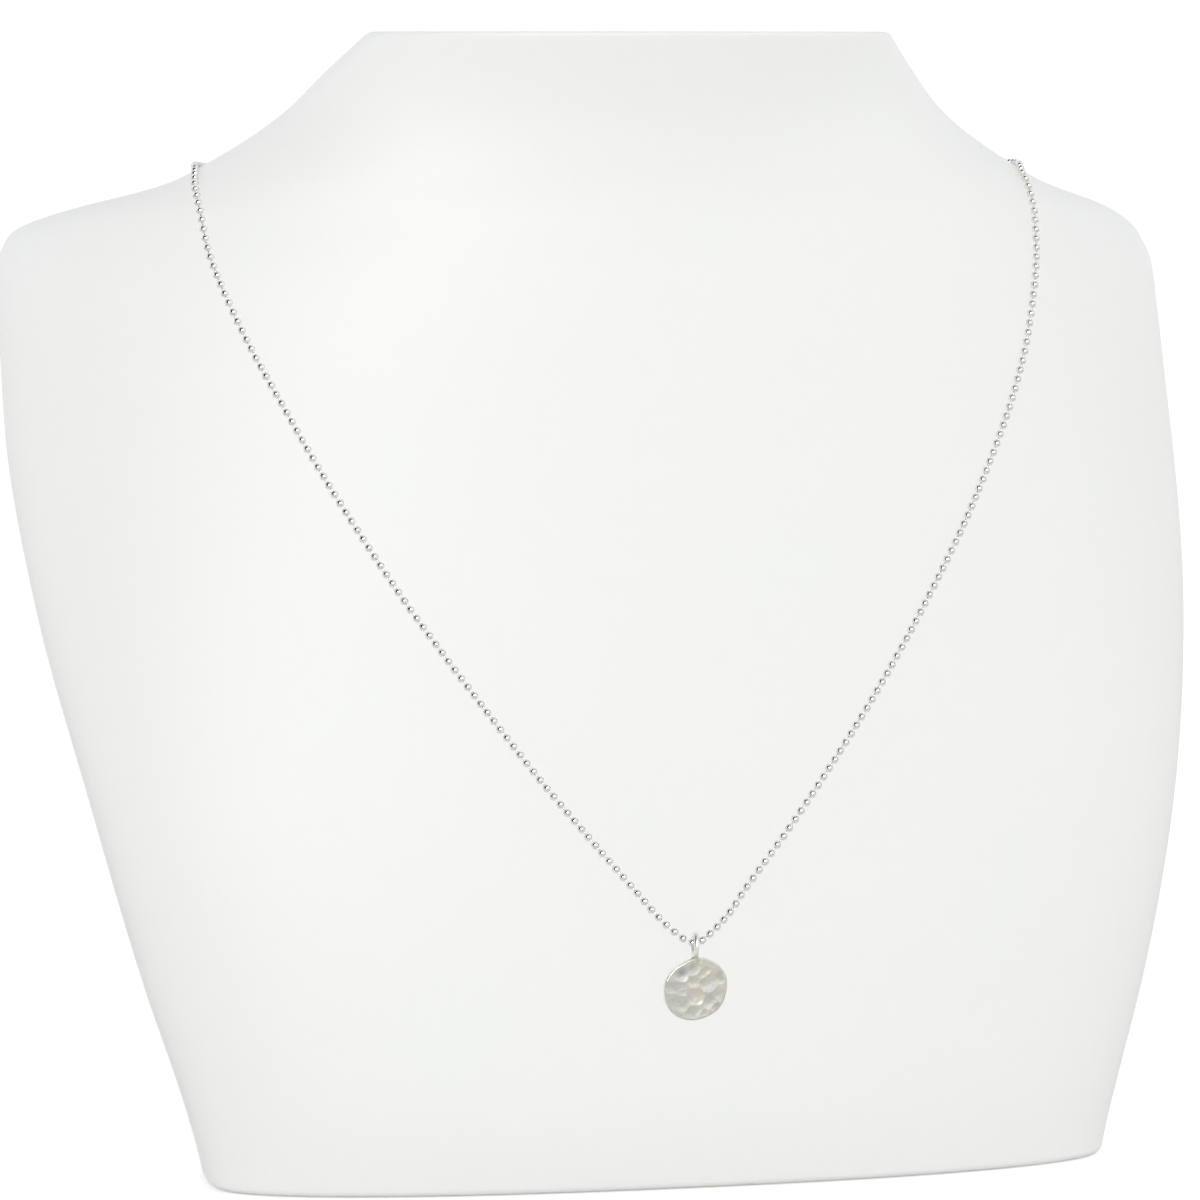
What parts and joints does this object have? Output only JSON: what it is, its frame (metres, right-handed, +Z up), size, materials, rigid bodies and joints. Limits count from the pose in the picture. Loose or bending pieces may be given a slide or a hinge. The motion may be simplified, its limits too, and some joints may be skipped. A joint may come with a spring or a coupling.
{
  "type": "disc pendant necklace on a neck bust",
  "caption": "Small hammered silver disc on a fine bead chain, laid round a plain white neck bust that stands on its flat base.",
  "frame": {"origin": "middle of the floor under the whole, at the foot of the bust's flat base", "axes": "+Z up, -Y to the front of the chest, +X to the right seen from the front"},
  "size_m": [0.198, 0.102, 0.183],
  "materials": {
    "white_leatherette": "white leatherette with a fine pebbled grain",
    "chain_silver": "polished silver beads with small cut facets",
    "pendant_silver": "softly polished hammered silver"
  },
  "bodies": {
    "bust": {"neck_bust": "white_leatherette", "bead_chain": "chain_silver", "clasp": "chain_silver"},
    "pendant": {"disc_pendant": "pendant_silver"}
  },
  "joints": [
    {"name": "pendant_swing", "type": "hinge", "parent": "bust", "child": "pendant", "pos_m": [0, -0.0488, 0.0395], "axis": [-1, 0, 0], "range_deg": [0, 170]}
  ]
}
